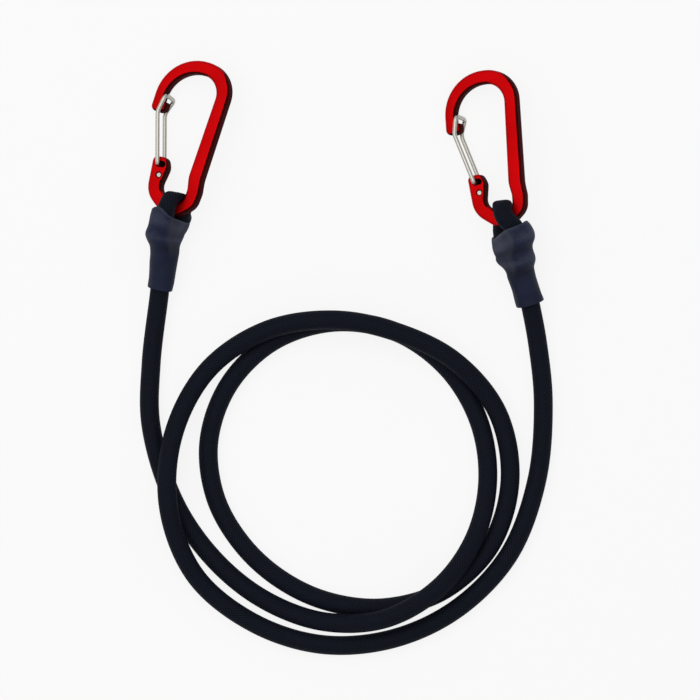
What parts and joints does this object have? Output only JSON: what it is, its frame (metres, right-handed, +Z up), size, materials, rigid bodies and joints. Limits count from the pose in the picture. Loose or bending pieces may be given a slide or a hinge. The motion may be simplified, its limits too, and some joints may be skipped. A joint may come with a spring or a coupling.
{
  "type": "bungee cord",
  "caption": "Elastic cord in a braided sheath, looped at each end through a flat wire-gate carabiner and held by a crimp under a shrink sleeve, lying in loose loops.",
  "frame": {"origin": "middle of the box around both carabiners and their sleeves, on the table the cord lies on", "axes": "+X from the left end to the right end, +Y from the coil towards the carabiners, +Z up from the table"},
  "size_m": [0.1859, 0.267, 0.0284],
  "materials": {
    "black_braid": "fine matte braid",
    "latex_core": "plain latex",
    "red_anodised": "red anodised, satin",
    "gate_wire": "drawn steel wire",
    "dark_shrink": "charcoal heat-shrink",
    "band_steel": "plain"
  },
  "bodies": {
    "cord": {"braided_sheath": "black_braid", "core_strand_1": "latex_core", "core_strand_2": "latex_core", "core_strand_3": "latex_core", "core_strand_4": "latex_core", "left_sleeve": "dark_shrink", "right_sleeve": "dark_shrink", "left_crimp_band": "band_steel", "right_crimp_band": "band_steel"},
    "left_carabiner": {"left_carabiner_body": "red_anodised"},
    "left_gate": {"left_wire_gate": "gate_wire"},
    "right_carabiner": {"right_carabiner_body": "red_anodised"},
    "right_gate": {"right_wire_gate": "gate_wire"}
  },
  "joints": [
    {"name": "left_swing", "type": "hinge", "parent": "cord", "child": "left_carabiner", "pos_m": [-0.07702, -0.01188, 0.01361], "axis": [0.8854, -0.2753, 0.3744], "range_deg": [-30, 75]},
    {"name": "left_gate_hinge", "type": "hinge", "parent": "left_carabiner", "child": "left_gate", "pos_m": [-0.08226, 0.00378, 0.00922], "axis": [0.3473, -0.1435, -0.9267], "range_deg": [0, 22], "stiffness_Nm_per_rad": 0.1, "springref_deg": -22.92},
    {"name": "right_swing", "type": "hinge", "parent": "cord", "child": "right_carabiner", "pos_m": [0.07226, -0.01459, 0.01505], "axis": [0.9979, 0.0643, -0.0027], "range_deg": [-50, 30]},
    {"name": "right_gate_hinge", "type": "hinge", "parent": "right_carabiner", "child": "right_gate", "pos_m": [0.06173, -0.00405, 0.01029], "axis": [0.378, -0.0404, -0.9249], "range_deg": [0, 22], "stiffness_Nm_per_rad": 0.1, "springref_deg": -22.92}
  ]
}
